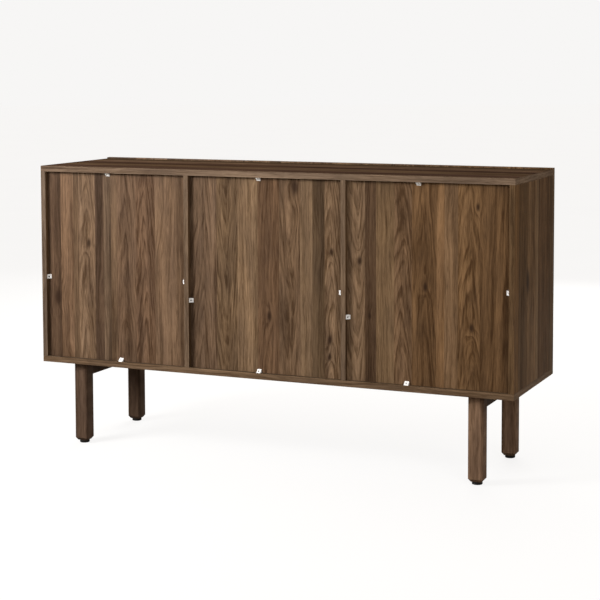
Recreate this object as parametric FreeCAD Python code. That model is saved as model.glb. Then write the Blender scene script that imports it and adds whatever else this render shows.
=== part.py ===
import FreeCAD, Part
import math
import os

# Walnut sideboard buffet on four square legs: a knock-down carcass of boards joined by cam
# fittings and dowels, three full-overlay doors on concealed cup hinges, and three planked back
# panels in grooves, each wedged by four plastic clips.
# Millimetres. +X runs along the length, -Y is the door side, +Y the back, +Z up.
# The origin is on the floor, under the middle of the whole outline, doors included.

V = FreeCAD.Vector

# ---------------------------------------------------------------- overall sizes
width = 1500.0
carcass_depth = 396.0
body_height = 606.0          # underside of the bottom panel to the top surface
leg_height = 252.0           # floor to the underside of the bottom panel, glide included

# ---------------------------------------------------------------- boards
top_thickness = 18.0
bottom_thickness = 18.0
side_thickness = 16.0
divider_thickness = 15.0
shelf_thickness = 15.0
edge_ease = 0.6              # rounding on the carcass boards' edges, which draws the seams
bay_count = 3                # equal doors, with a divider behind each meeting line

# ---------------------------------------------------------------- back panels and their clips
back_thickness = 5.0
back_recess = 13.0           # rear edge of the carcass to the back panel's rear face
groove_depth = 5.0
groove_clearance = 0.15      # between the panel's faces and the groove's walls
groove_end_clearance = 0.5   # between the panel's edge and the groove's floor
clip_leg = 10.0              # both short sides of the wedge's triangle
clip_length = 13.0
clip_ease = 0.6
clip_screw_up = 4.2          # screw axis above the back panel's face
clip_seat = 2.6              # wedge left under the screw's head
clip_screw_radius = 1.6
clip_screw_bite = 9.0
clip_head_radius = 2.4
clip_head_height = 1.2
# Hand-set clip places, as offsets from the middle of the bay's edge: top, bottom, left, right.
clip_offsets = {
    "left": (24.0, 58.0, -10.0, -104.0),
    "center": (18.0, 18.0, -36.0, -85.0),
    "right": (24.0, -17.0, -32.0, -39.0),
}

# ---------------------------------------------------------------- doors
door_thickness = 18.0
door_gap = 2.0               # door's rear face to the carcass's front edge
door_split = 3.0             # gap between neighbouring doors
door_lip = 4.0               # the doors stand this much above the top surface
door_ease = 1.2
bumper_radius = 4.0
bumper_inset = 25.0          # bumper's centre from the door's latch edge
bumper_air = 0.3

# ---------------------------------------------------------------- shelves and pins
shelf_setback = 25.0         # carcass's front edge to the shelf's front edge
shelf_side_air = 0.8
shelf_back_air = 2.0
shelf_level = 0.5            # share of the bay's height at the shelf's middle
pin_radius = 2.5
pin_bite = 6.5
pin_reach = 8.0
pin_collar_radius = 4.0
pin_collar = 1.5
pin_inset = 45.0             # shelf's front and rear edges to the pin rows
pin_pitch = 32.0
pin_rows_each_way = 2        # spare holes above and below the used one

# ---------------------------------------------------------------- legs, glides, rails
leg_size = 45.0
leg_corner_radius = 9.0
leg_foot_chamfer = 7.5
leg_foot_chamfer_height = 8.0
leg_foot_corner_radius = 1.5
leg_end_inset = 94.0         # end of the carcass to the leg's outer face
leg_rear_inset = 24.5        # rear edge of the carcass to the rear leg's rear face
leg_front_inset = 20.5       # doors' front face to the front leg's front face
glide_radius = 15.0
glide_height = 8.5
glide_ease = 2.0
glide_stem_radius = 4.0
glide_stem_length = 22.0
rail_height = 45.0
rail_thickness = 20.0
rail_ease = 1.0
insert_radius = 6.0
insert_length = 20.0
leg_bolt_radius = 4.0
leg_bolt_reach = 15.0        # bolt's length inside the leg
leg_bolt_head_radius = 8.0
leg_bolt_head_height = 2.0
rail_screw_radius = 2.5
rail_screw_bite = 28.0
rail_screw_head_radius = 4.5
rail_screw_head_height = 1.8
rail_screw_inset = 60.0      # rail's end to its screw
rail_dowel_spacing = 24.0

# ---------------------------------------------------------------- cam fittings and dowels
cam_radius = 7.5
cam_depth = 12.4
cam_setback = 34.0           # board's end to the cam's centre
cam_front_inset = 50.0       # carcass's front edge to the front cam
cam_rear_inset = 60.0        # carcass's rear edge to the rear cam
cam_slot_radius = 3.6
cam_slot_past = 4.0          # the slot runs this far past the cam's centre
cam_cross = (9.0, 1.6, 1.2)  # screwdriver recess: length, width, depth
cam_bolt_line = 7.5          # bolt's axis, in from the board's face that the cam opens on
cam_bolt_bore_radius = 4.0
cam_bolt_thread_radius = 2.5
cam_bolt_bite = 11.0
cam_bolt_shank_radius = 3.0
cam_bolt_neck_radius = 2.0
cam_bolt_neck_length = 6.0
cam_bolt_head_radius = 3.2
cam_bolt_head_height = 3.0
dowel_radius = 4.0
dowel_long_end = 20.0        # length in the upright, or in the rail
dowel_short_end = 10.0       # length in the top or bottom panel, or in the leg
dowel_step = 32.0            # cam to its neighbouring dowel

# ---------------------------------------------------------------- concealed hinges
# Hinge points are (distance in from the door's hinge edge, distance in front of its rear face).
hinge_end_inset = 90.0       # door's top or bottom to the hinge's centre line
axis_edge_inset = 4.5        # the door turns about this line: in from its hinge edge
axis_face_inset = 5.0        # and back from its front face
door_swing_deg = 100.0
cup_radius = 17.5
cup_wall = 1.0
cup_depth = 12.0
cup_edge_inset = 22.5        # hinge edge to the cup's centre
flange_radius = 20.5
flange_thickness = 1.2
flange_ear_half = 28.0
flange_ear_width = 14.0
flange_ear_radius = 5.0
cup_screw_back = 9.5         # screws stand this much further in than the cup's centre
cup_screw_half = 22.5
cup_screw_radius = 1.6
cup_screw_bite = 12.0
pivot_point = (31.0, 6.8)
link_knee = (14.3, 9.5)
link_tip = (10.6, 5.4)
link_half = 0.7
link_half_width = 4.0
link_eye_radius = 2.6
pivot_radius = 1.5
arm_standoff = 5.5           # side panel's inner face to the arm's underside
arm_bend_back = 7.0          # the arm bends this far behind the door's rear face
arm_end_back = 58.0
arm_half = 2.5
arm_line = side_thickness + arm_standoff + arm_half  # arm's middle, in from the hinge edge
arm_half_width = 5.8
arm_slot_radius = 4.2
arm_slot_air = 0.3
plate_back = 37.0            # carcass's front edge to the plate's screw line
plate_wing_thickness = 3.0
plate_wing_half = 24.0
plate_wing_depth = 14.0
plate_bar_half_width = 8.0
plate_bar_half_length = 20.0
plate_screw_half = 16.0
plate_screw_radius = 2.5
plate_screw_bite = 10.0
arm_screw_offset = 8.0
arm_screw_radius = 2.0
arm_screw_bite = 4.0
screw_head_radius = 3.4
screw_head_height = 1.5

# ---------------------------------------------------------------- fits
fit = 0.05                   # radial clearance of a peg, cam, cup or pivot in its bore
thread_fit = 0.02            # radial clearance left where a screw bites

# ---------------------------------------------------------------- levels and planes
total_depth = carcass_depth + door_gap + door_thickness
y_rear = total_depth / 2
y_carcass_front = y_rear - carcass_depth
y_door_rear = y_carcass_front - door_gap
y_door_front = y_door_rear - door_thickness
y_back_rear = y_rear - back_recess
y_back_front = y_back_rear - back_thickness
z_body = leg_height
z_bay_low = z_body + bottom_thickness
z_top = z_body + body_height
z_bay_high = z_top - top_thickness
z_door_top = z_top + door_lip
z_bay_middle = (z_bay_low + z_bay_high) / 2
x_end = width / 2
x_side_inner = x_end - side_thickness
door_pitch = width / bay_count
x_divider = door_pitch / 2
z_shelf = z_bay_low + shelf_level * (z_bay_high - z_bay_low) - shelf_thickness / 2
y_shelf_front = y_carcass_front + shelf_setback
y_shelf_rear = y_back_front - shelf_back_air

bays = {
    "left": (-x_side_inner, -x_divider - divider_thickness / 2),
    "center": (-x_divider + divider_thickness / 2, x_divider - divider_thickness / 2),
    "right": (x_divider + divider_thickness / 2, x_side_inner),
}
# Each upright board: name, low X, high X, the faces that look into a bay, and the cams' face.
uprights = (
    ("side_panel_left", -x_end, -x_side_inner, (1,), 1),
    ("divider_left", -x_divider - divider_thickness / 2, -x_divider + divider_thickness / 2, (-1, 1), -1),
    ("divider_right", x_divider - divider_thickness / 2, x_divider + divider_thickness / 2, (-1, 1), 1),
    ("side_panel_right", x_side_inner, x_end, (-1,), -1),
)
# Each door: low X, high X, the hinge edge (-1 low, +1 high), and the board face behind the hinge,
# as its distance in from the hinge edge.
doors = {
    "left": (-x_end, -x_divider - door_split / 2, -1, side_thickness),
    "center": (-x_divider + door_split / 2, x_divider - door_split / 2, -1,
               divider_thickness / 2 - door_split / 2),
    "right": (x_divider + door_split / 2, x_end, 1, side_thickness),
}
x_leg = x_end - leg_end_inset - leg_size / 2
leg_places = {
    "front_left": (-x_leg, y_door_front + leg_front_inset + leg_size / 2),
    "front_right": (x_leg, y_door_front + leg_front_inset + leg_size / 2),
    "rear_left": (-x_leg, y_rear - leg_rear_inset - leg_size / 2),
    "rear_right": (x_leg, y_rear - leg_rear_inset - leg_size / 2),
}


# ---------------------------------------------------------------- small shape helpers
def block(x0, x1, y0, y1, z0, z1):
    """A box between two corners."""
    return Part.makeBox(x1 - x0, y1 - y0, z1 - z0, V(x0, y0, z0))


def rod(start, direction, radius, length):
    """A round bar from a point, along a direction."""
    return Part.makeCylinder(radius, length, V(*start), V(*direction))


def board(x0, x1, y0, y1, z0, z1, ease):
    """A board with all its edges eased."""
    plain = block(x0, x1, y0, y1, z0, z1)
    return plain.makeFillet(ease, plain.Edges)


def joined(shapes):
    """One solid from several that overlap or share faces."""
    first, rest = shapes[0], list(shapes[1:])
    return first.fuse(rest).removeSplitter() if rest else first


def cut(shape, tools):
    """The shape with every tool taken out."""
    return shape.cut(list(tools)) if tools else shape


def slab_path(points, radius, z0, z1):
    """A thick strip of round-ended straight runs through plan points, between two levels."""
    pieces = []
    for (px, py), (qx, qy) in zip(points, points[1:]):
        length = math.hypot(qx - px, qy - py)
        run = Part.makeBox(length, 2 * radius, z1 - z0, V(0, -radius, z0))
        run.rotate(V(0, 0, 0), V(0, 0, 1), math.degrees(math.atan2(qy - py, qx - px)))
        run.translate(V(px, py, 0))
        pieces.append(run)
    pieces += [rod((x, y, z0), (0, 0, 1), radius, z1 - z0) for x, y in points]
    return joined(pieces)


def rounded_square(size, radius, z):
    """A closed wire: a square with round corners, centred on the Z axis."""
    h = size / 2
    k = h - radius
    m = h - radius * (1 - math.sqrt(0.5))
    edges = []
    for turn in range(4):
        c, s = ((1, 0), (0, 1), (-1, 0), (0, -1))[turn]

        def spin(x, y):
            return V(x * c - y * s, x * s + y * c, z)

        edges.append(Part.LineSegment(spin(h, -k), spin(h, k)).toShape())
        edges.append(Part.Arc(spin(h, k), spin(m, m), spin(k, h)).toShape())
    return Part.Wire(edges)


def save(name, shapes):
    """Write one node; several pieces that share a node stay separate solids."""
    shapes = shapes if isinstance(shapes, list) else [shapes]
    shape = shapes[0] if len(shapes) == 1 else Part.makeCompound(shapes)
    for solid in shape.Solids:
        assert solid.isValid() and solid.Volume > 0, name
    shape.exportStep(f"parts/{name}.step")
    box = shape.BoundBox
    print(f"{name:26s} {len(shape.Solids):3d} solid(s)  "
          f"{box.XLength:8.1f} {box.YLength:7.1f} {box.ZLength:7.1f}")


# ---------------------------------------------------------------- fastenings in the boards
def fastening_rows():
    """Y places of the cams, and of the dowels beside them."""
    cams = (y_carcass_front + cam_front_inset, y_rear - cam_rear_inset)
    return cams, (cams[0] + dowel_step, cams[1] - dowel_step)


def cam_joint(x0, x1, face, y, z_seam, up):
    """Cam lock, cam bolt and the cutters for one joint at an upright's end.

    z_seam is the level of the joint, and up is +1 where the upright stands on it, -1 below it.
    """
    x_face = x1 if face > 0 else x0
    x_line = x_face - face * cam_bolt_line
    z_cam = z_seam + up * cam_setback
    cam = rod((x_face, y, z_cam), (-face, 0, 0), cam_radius, cam_depth)
    z_slot = z_cam + up * cam_slot_past
    slot = rod((x_line, y, z_slot), (0, 0, -up), cam_slot_radius, cam_radius + cam_slot_past)
    length, wide, deep = cam_cross
    cross = [
        Part.makeBox(2 * deep, length, wide, V(x_face - deep, y - length / 2, z_cam - wide / 2)),
        Part.makeBox(2 * deep, wide, length, V(x_face - deep, y - wide / 2, z_cam - length / 2)),
    ]
    cam = cut(cam, [slot] + cross)
    pocket = rod((x_face + face, y, z_cam), (-face, 0, 0), cam_radius + fit, cam_depth + fit + 1)
    way = rod((x_line, y, z_seam - up), (0, 0, up), cam_bolt_bore_radius, cam_setback + 1)

    z_head = z_cam + up * cam_bolt_head_height / 2
    neck = cam_bolt_neck_length
    shank = cam_setback - cam_bolt_head_height / 2 - neck
    bolt = joined([
        rod((x_line, y, z_seam), (0, 0, -up), cam_bolt_thread_radius, cam_bolt_bite),
        rod((x_line, y, z_seam), (0, 0, up), cam_bolt_shank_radius, shank),
        rod((x_line, y, z_seam), (0, 0, up), cam_bolt_neck_radius, cam_setback),
        rod((x_line, y, z_head), (0, 0, -up), cam_bolt_head_radius, cam_bolt_head_height),
    ])
    pilot = rod((x_line, y, z_seam + up), (0, 0, -up), cam_bolt_thread_radius + thread_fit,
                cam_bolt_bite + fit + 1)
    return cam, bolt, [pocket, way], pilot


def dowel_joint(x_mid, y, z_seam, up):
    """A dowel between an upright's end and the panel beyond it, with the cutters for both."""
    dowel = rod((x_mid, y, z_seam - up * dowel_short_end), (0, 0, up), dowel_radius,
                dowel_short_end + dowel_long_end)
    in_upright = rod((x_mid, y, z_seam - up), (0, 0, up), dowel_radius + fit, dowel_long_end + 1 + fit)
    in_panel = rod((x_mid, y, z_seam + up), (0, 0, -up), dowel_radius + fit, dowel_short_end + 1 + fit)
    return dowel, in_upright, in_panel


# ---------------------------------------------------------------- shelves
def shelf_pin(x_face, into_bay, y):
    """One shelf pin, with its collar against the board, under the shelf."""
    z = z_shelf - pin_radius
    pin = joined([
        rod((x_face - into_bay * pin_bite, y, z), (into_bay, 0, 0), pin_radius, pin_bite + pin_reach),
        rod((x_face, y, z), (into_bay, 0, 0), pin_collar_radius, pin_collar),
    ])
    # The collar's top is cut level with the pin's, so that the shelf lies flat on it.
    above = block(x_face - pin_reach, x_face + pin_reach, y - pin_reach, y + pin_reach,
                  z_shelf, z_shelf + pin_reach)
    return pin.cut(above)


def pin_holes(x_face, into_bay, y):
    """The column of holes for one pin."""
    rows = range(-pin_rows_each_way, pin_rows_each_way + 1)
    return [rod((x_face + into_bay, y, z_shelf - pin_radius + row * pin_pitch), (-into_bay, 0, 0),
                pin_radius + fit, pin_bite + fit + 1) for row in rows]


# ---------------------------------------------------------------- back panel clips
def clip_set(place, turn):
    """A wedge clip, its screw and the pilot cutter, for one edge of a bay.

    The wedge is drawn on the face of a board that looks along +X, with the back panel below it in
    Y; it is then turned about Y and moved to its place.
    """
    def on_edge(shape):
        shape.rotate(V(0, 0, 0), V(0, 1, 0), turn)
        shape.translate(V(*place))
        return shape

    corner = [V(0, 0, -clip_length / 2), V(clip_leg, 0, -clip_length / 2), V(0, clip_leg, -clip_length / 2)]
    wedge = Part.Face(Part.makePolygon(corner + corner[:1])).extrude(V(0, 0, clip_length))
    slant = [e for e in wedge.Edges if min(e.BoundBox.XLength, e.BoundBox.YLength) > clip_ease]
    wedge = wedge.makeFillet(clip_ease, slant)
    axis = (0, clip_screw_up, 0)
    seat = rod((clip_seat, clip_screw_up, 0), (1, 0, 0), clip_head_radius + 0.4, clip_leg)
    hole = rod((-1, clip_screw_up, 0), (1, 0, 0), clip_screw_radius + thread_fit, clip_leg)
    wedge = wedge.cut([seat, hole])
    screw = joined([
        rod(axis, (1, 0, 0), clip_screw_radius, clip_seat),
        rod(axis, (-1, 0, 0), clip_screw_radius, clip_screw_bite),
        rod((clip_seat, clip_screw_up, 0), (1, 0, 0), clip_head_radius, clip_head_height),
    ])
    pilot = rod((1, clip_screw_up, 0), (-1, 0, 0), clip_screw_radius + thread_fit,
                clip_screw_bite + fit + 1)
    return on_edge(wedge), on_edge(screw), on_edge(pilot)


# ---------------------------------------------------------------- hinges
def plan(point):
    """A hinge point in plan, with the door's front face at Y = 0 and its hinge edge at X = 0."""
    return (point[0], door_thickness - point[1])


def hinge_cup():
    """The pressed cup, let into the door's rear face, with its screwed flange."""
    back = door_thickness
    bucket = rod((cup_edge_inset, back, 0), (0, -1, 0), cup_radius, cup_depth)
    flange = rod((cup_edge_inset, back, 0), (0, 1, 0), flange_radius, flange_thickness)
    ear_x = cup_edge_inset + cup_screw_back
    ear = block(ear_x - flange_ear_width / 2, ear_x + flange_ear_width / 2, back,
                back + flange_thickness, -flange_ear_half, flange_ear_half)
    upright = [e for e in ear.Edges if e.BoundBox.YLength > flange_thickness / 2]
    ear = ear.makeFillet(flange_ear_radius, upright)
    hollow = rod((cup_edge_inset, back + 2 * flange_thickness, 0), (0, -1, 0), cup_radius - cup_wall,
                 cup_depth - cup_wall + 2 * flange_thickness)
    holes = [rod((ear_x, back - 1, s * cup_screw_half), (0, 1, 0), cup_screw_radius + fit,
                 flange_thickness + 2) for s in (-1, 1)]
    return cut(joined([bucket, flange, ear]), [hollow] + holes)


def hinge_cup_screws():
    """The two flange screws."""
    face = door_thickness + flange_thickness
    x = cup_edge_inset + cup_screw_back
    return [joined([
        rod((x, face, s * cup_screw_half), (0, -1, 0), cup_screw_radius, cup_screw_bite),
        rod((x, face, s * cup_screw_half), (0, 1, 0), screw_head_radius, screw_head_height),
    ]) for s in (-1, 1)]


def hinge_door_bores():
    """What the hinge takes out of the door: the cup's bore and two pilot holes."""
    back = door_thickness
    cup = rod((cup_edge_inset, back + 1, 0), (0, -1, 0), cup_radius + fit, cup_depth + 1 + fit)
    x = cup_edge_inset + cup_screw_back
    pilots = [rod((x, back + 1, s * cup_screw_half), (0, -1, 0), cup_screw_radius + thread_fit,
                  cup_screw_bite - flange_thickness + 1 + fit) for s in (-1, 1)]
    return [cup] + pilots


def hinge_link():
    """The cranked link, which turns on the arm's pivot and reaches into the cup."""
    pivot = plan(pivot_point)
    strip = slab_path([pivot, plan(link_knee), plan(link_tip)], link_half,
                      -link_half_width, link_half_width)
    eye = rod((*pivot, -link_half_width), (0, 0, 1), link_eye_radius, 2 * link_half_width)
    bore = rod((*pivot, -arm_half_width), (0, 0, 1), pivot_radius + fit, 2 * arm_half_width)
    return joined([strip, eye]).cut(bore)


def hinge_arm():
    """The arm: a strip along the board, bent into the cup, with a slot for the link's eye."""
    back = door_thickness
    pivot = plan(pivot_point)
    line = [(arm_line, back + arm_end_back), (arm_line, back + arm_bend_back), pivot]
    strip = slab_path(line, arm_half, -arm_half_width, arm_half_width)
    slot_half = link_half_width + arm_slot_air
    slot = rod((*pivot, -slot_half), (0, 0, 1), arm_slot_radius, 2 * slot_half)
    bore = rod((*pivot, -2 * arm_half_width), (0, 0, 1), pivot_radius + thread_fit, 4 * arm_half_width)
    screws = [rod((arm_line - 2 * arm_half, y, 0), (1, 0, 0), arm_screw_radius + fit, 4 * arm_half)
              for y in arm_screw_rows()]
    return cut(strip, [slot, bore] + screws)


def arm_screw_rows():
    """Y of the arm's two screws, either side of the plate's screw line."""
    line = door_thickness + door_gap + plate_back
    return (line - arm_screw_offset, line + arm_screw_offset)


def hinge_pivot():
    """The rivet through the arm's two ears and the link's eye."""
    return rod((*plan(pivot_point), -arm_half_width), (0, 0, 1), pivot_radius, 2 * arm_half_width)


def hinge_plate(face):
    """The mounting plate: wings screwed to the board's face, and a bar that carries the arm."""
    y = door_thickness + door_gap + plate_back
    bar_top = arm_line - arm_half
    wings = block(face, face + plate_wing_thickness, y - plate_wing_depth / 2,
                  y + plate_wing_depth / 2, -plate_wing_half, plate_wing_half)
    upright = [e for e in wings.Edges if e.BoundBox.XLength > plate_wing_thickness / 2]
    wings = wings.makeFillet(plate_wing_depth / 3, upright)
    bar = block(face, bar_top, y - plate_bar_half_length, y + plate_bar_half_length,
                -plate_bar_half_width, plate_bar_half_width)
    holes = [rod((face - 1, y, s * plate_screw_half), (1, 0, 0), plate_screw_radius + fit,
                 plate_wing_thickness + 2) for s in (-1, 1)]
    holes += [rod((bar_top + 1, row, 0), (-1, 0, 0), arm_screw_radius + thread_fit,
                  arm_screw_bite + 1 + fit) for row in arm_screw_rows()]
    return cut(joined([wings, bar]), holes)


def hinge_plate_screws(face):
    """Screws through the plate's wings into the board."""
    y = door_thickness + door_gap + plate_back
    seat = face + plate_wing_thickness
    return [joined([
        rod((seat, y, s * plate_screw_half), (-1, 0, 0), plate_screw_radius,
            plate_wing_thickness + plate_screw_bite),
        rod((seat, y, s * plate_screw_half), (1, 0, 0), screw_head_radius, screw_head_height),
    ]) for s in (-1, 1)]


def hinge_board_bores(face):
    """Pilot holes in the board behind the plate."""
    y = door_thickness + door_gap + plate_back
    return [rod((face + 1, y, s * plate_screw_half), (-1, 0, 0), plate_screw_radius + thread_fit,
                plate_screw_bite + 1 + fit) for s in (-1, 1)]


def arm_screws():
    """The fixing and adjusting screws, through the arm into the plate's bar."""
    seat = arm_line + arm_half
    return [joined([
        rod((seat, y, 0), (-1, 0, 0), arm_screw_radius, 2 * arm_half + arm_screw_bite),
        rod((seat, y, 0), (1, 0, 0), screw_head_radius, screw_head_height),
    ]) for y in arm_screw_rows()]


def hang(shapes, door, z):
    """Hinge pieces drawn at a low-X hinge edge, put on a door's own edge at a level."""
    x0, x1, edge, _ = doors[door]
    placed = []
    for shape in shapes:
        shape = shape if edge < 0 else shape.mirror(V(0, 0, 0), V(1, 0, 0))
        shape.translate(V(x0 if edge < 0 else x1, y_door_front, z))
        placed.append(shape)
    return placed


# ---------------------------------------------------------------- legs
def leg(x, y):
    """A square leg with round corners and a tapered foot."""
    z0 = glide_height
    z_foot = z0 + leg_foot_chamfer_height
    foot = Part.makeLoft([
        rounded_square(leg_size - 2 * leg_foot_chamfer, leg_foot_corner_radius, z0),
        rounded_square(leg_size, leg_corner_radius, z_foot),
    ], True, True)
    shaft = Part.Face(rounded_square(leg_size, leg_corner_radius, z_foot))
    post = joined([foot, shaft.extrude(V(0, 0, z_body - z_foot))])
    bores = [
        rod((0, 0, z0 - 1), (0, 0, 1), glide_stem_radius + fit, glide_stem_length + 1 + fit),
        rod((0, 0, z_body + 1), (0, 0, -1), insert_radius + fit, insert_length + 1 + fit),
    ]
    post = post.cut(bores)
    post.translate(V(x, y, 0))
    return post


def glide(x, y):
    """A plug-in glide: a round pad with a stem."""
    pad = rod((x, y, 0), (0, 0, 1), glide_radius, glide_height)
    rim = [e for e in pad.Edges if e.BoundBox.ZMax < glide_height / 2 and e.Closed]
    pad = pad.makeFillet(glide_ease, rim[:1])
    return joined([pad, rod((x, y, glide_height / 2), (0, 0, 1), glide_stem_radius,
                            glide_height / 2 + glide_stem_length)])


def leg_insert(x, y):
    """The threaded insert in the leg's top."""
    body = rod((x, y, z_body), (0, 0, -1), insert_radius, insert_length)
    return body.cut(rod((x, y, z_body + 1), (0, 0, -1), leg_bolt_radius + thread_fit, leg_bolt_reach + 2))


def leg_bolt(x, y):
    """The bolt from the bay's floor, through the bottom panel, into the insert."""
    return joined([
        rod((x, y, z_bay_low), (0, 0, -1), leg_bolt_radius, bottom_thickness + leg_bolt_reach),
        rod((x, y, z_bay_low), (0, 0, 1), leg_bolt_head_radius, leg_bolt_head_height),
    ])


def rail_ends():
    """Y of the rail's two ends, against the front and the rear leg."""
    return (leg_places["front_left"][1] + leg_size / 2, leg_places["rear_left"][1] - leg_size / 2)


def rail_dowel_places(x):
    """Start point and direction into the rail, for the four dowels of a rail."""
    z_mid = z_body - rail_height / 2
    ends = rail_ends()
    return [((x, end, z_mid + s * rail_dowel_spacing / 2), (0, into, 0))
            for end, into in ((ends[0], 1), (ends[1], -1)) for s in (-1, 1)]


def rail_screw_places(x):
    """The two screws that pull a rail up to the bottom panel."""
    ends = rail_ends()
    return [(x, ends[0] + rail_screw_inset), (x, ends[1] - rail_screw_inset)]


# ================================================================ build
os.makedirs("parts", exist_ok=True)

board_cuts = {name: [] for name, *_ in uprights}
top_cuts = []
bottom_cuts = []
door_cuts = {name: [] for name in doors}
cam_locks, cam_bolts, dowels = [], [], []
pins, clips, clip_screws = [], [], []

# Cams and dowels at both ends of every upright.
cam_rows, dowel_rows = fastening_rows()
for name, x0, x1, faces, cam_face in uprights:
    for z_seam, up, panel_cuts in ((z_bay_low, 1, bottom_cuts), (z_bay_high, -1, top_cuts)):
        for y in cam_rows:
            cam, bolt, holes, pilot = cam_joint(x0, x1, cam_face, y, z_seam, up)
            cam_locks.append(cam)
            cam_bolts.append(bolt)
            board_cuts[name] += holes
            panel_cuts.append(pilot)
        for y in dowel_rows:
            dowel, in_upright, in_panel = dowel_joint((x0 + x1) / 2, y, z_seam, up)
            dowels.append(dowel)
            board_cuts[name].append(in_upright)
            panel_cuts.append(in_panel)

# Grooves for the back panels, and the shelf pins' holes.
groove_y0 = y_back_front - groove_clearance
groove_y1 = y_back_rear + groove_clearance
for name, x0, x1, faces, _ in uprights:
    for face in faces:
        x_face = x1 if face > 0 else x0
        low, high = sorted((x_face - face * groove_depth, x_face + face))
        board_cuts[name].append(block(low, high, groove_y0, groove_y1, z_bay_low - 1, z_bay_high + 1))
        for y in (y_shelf_front + pin_inset, y_shelf_rear - pin_inset):
            board_cuts[name] += pin_holes(x_face, face, y)
            pins.append(shelf_pin(x_face, face, y))
x_groove = x_side_inner + groove_depth
top_cuts.append(block(-x_groove, x_groove, groove_y0, groove_y1, z_bay_high - 1, z_bay_high + groove_depth))
bottom_cuts.append(block(-x_groove, x_groove, groove_y0, groove_y1, z_bay_low - groove_depth, z_bay_low + 1))

# Back panels, shelves and clips, bay by bay.
back_reach = groove_depth - groove_end_clearance
for bay, (x0, x1) in bays.items():
    save(f"back_panel_{bay}", block(x0 - back_reach, x1 + back_reach, y_back_front, y_back_rear,
                                    z_bay_low - back_reach, z_bay_high + back_reach))
    save(f"shelf_{bay}", board(x0 + shelf_side_air, x1 - shelf_side_air, y_shelf_front, y_shelf_rear,
                               z_shelf, z_shelf + shelf_thickness, edge_ease))
    middle = (x0 + x1) / 2
    above, below, left, right = clip_offsets[bay]
    low_upright, high_upright = {"left": (0, 1), "center": (1, 2), "right": (2, 3)}[bay]
    spots = (
        ((middle + above, y_back_rear, z_bay_high), 90, top_cuts),
        ((middle + below, y_back_rear, z_bay_low), -90, bottom_cuts),
        ((x0, y_back_rear, z_bay_middle + left), 0, board_cuts[uprights[low_upright][0]]),
        ((x1, y_back_rear, z_bay_middle + right), 180, board_cuts[uprights[high_upright][0]]),
    )
    for place, turn, cuts in spots:
        clip, screw, pilot = clip_set(place, turn)
        clips.append(clip)
        clip_screws.append(screw)
        cuts.append(pilot)

# Doors and hinges.
hinge_levels = (z_body + hinge_end_inset, z_door_top - hinge_end_inset)
plate_screws, pivots, fixing_screws, bumpers = [], [], [], []
behind_hinge = {"left": "side_panel_left", "center": "divider_left", "right": "side_panel_right"}
for door, (x0, x1, edge, face) in doors.items():
    x_axis = x0 + axis_edge_inset if edge < 0 else x1 - axis_edge_inset
    x_pivot = x0 + pivot_point[0] if edge < 0 else x1 - pivot_point[0]
    print(f"door_{door} swings {door_swing_deg:g} degrees about X {x_axis:g}, "
          f"Y {y_door_front + axis_face_inset:g}; its links turn about X {x_pivot:g}, "
          f"Y {y_door_rear - pivot_point[1]:g}")
    cups, cup_screws, links, arms, plates = [], [], [], [], []
    for z in hinge_levels:
        cups += hang([hinge_cup()], door, z)
        cup_screws += hang(hinge_cup_screws(), door, z)
        links += hang([hinge_link()], door, z)
        arms += hang([hinge_arm()], door, z)
        plates += hang([hinge_plate(face)], door, z)
        plate_screws += hang(hinge_plate_screws(face), door, z)
        pivots += hang([hinge_pivot()], door, z)
        fixing_screws += hang(arm_screws(), door, z)
        door_cuts[door] += hang(hinge_door_bores(), door, z)
        board_cuts[behind_hinge[door]] += hang(hinge_board_bores(face), door, z)
    leaf = board(x0, x1, y_door_front, y_door_rear, z_body, z_door_top, door_ease)
    save(f"door_{door}", cut(leaf, door_cuts[door]))
    save(f"hinge_cups_{door}", cups)
    save(f"hinge_cup_screws_{door}", cup_screws)
    save(f"hinge_links_{door}", links)
    save(f"hinge_arms_{door}", arms)
    save(f"hinge_plates_{door}", plates)
    x_latch = (x1 - bumper_inset) if edge < 0 else (x0 + bumper_inset)
    for z in (z_body + bottom_thickness / 2, z_top - top_thickness / 2):
        bumpers.append(rod((x_latch, y_carcass_front, z), (0, -1, 0), bumper_radius, door_gap - bumper_air))
save("hinge_plate_screws", plate_screws)
save("hinge_pivots", pivots)
save("hinge_arm_screws", fixing_screws)
save("door_bumpers", bumpers)

# Legs, glides and the rail between each pair.
leg_dowel_cuts = {name: [] for name in leg_places}
rail_dowels, rail_screws = [], []
for side, x in (("left", -x_leg), ("right", x_leg)):
    y0, y1 = rail_ends()
    rail = board(x - rail_thickness / 2, x + rail_thickness / 2, y0, y1,
                 z_body - rail_height, z_body, rail_ease)
    rail_cuts = []
    for start, into in rail_dowel_places(x):
        out = tuple(-c for c in into)
        tail = tuple(s + o * dowel_short_end for s, o in zip(start, out))
        rail_dowels.append(rod(tail, into, dowel_radius, dowel_short_end + dowel_long_end))
        mouth = tuple(s + o for s, o in zip(start, out))
        rail_cuts.append(rod(mouth, into, dowel_radius + fit, dowel_long_end + 1 + fit))
        mouth = tuple(s + i for s, i in zip(start, into))
        owner = f"{'front' if into[1] > 0 else 'rear'}_{side}"
        leg_dowel_cuts[owner].append(rod(mouth, out, dowel_radius + fit, dowel_short_end + 1 + fit))
    for sx, sy in rail_screw_places(x):
        rail_screws.append(joined([
            rod((sx, sy, z_bay_low), (0, 0, -1), rail_screw_radius, bottom_thickness + rail_screw_bite),
            rod((sx, sy, z_bay_low), (0, 0, 1), rail_screw_head_radius, rail_screw_head_height),
        ]))
        hole = rail_screw_radius + thread_fit
        bottom_cuts.append(rod((sx, sy, z_bay_low + 1), (0, 0, -1), hole, bottom_thickness + 2))
        rail_cuts.append(rod((sx, sy, z_body + 1), (0, 0, -1), hole, rail_screw_bite + 1 + fit))
    save(f"leg_rail_{side}", cut(rail, rail_cuts))
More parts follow.
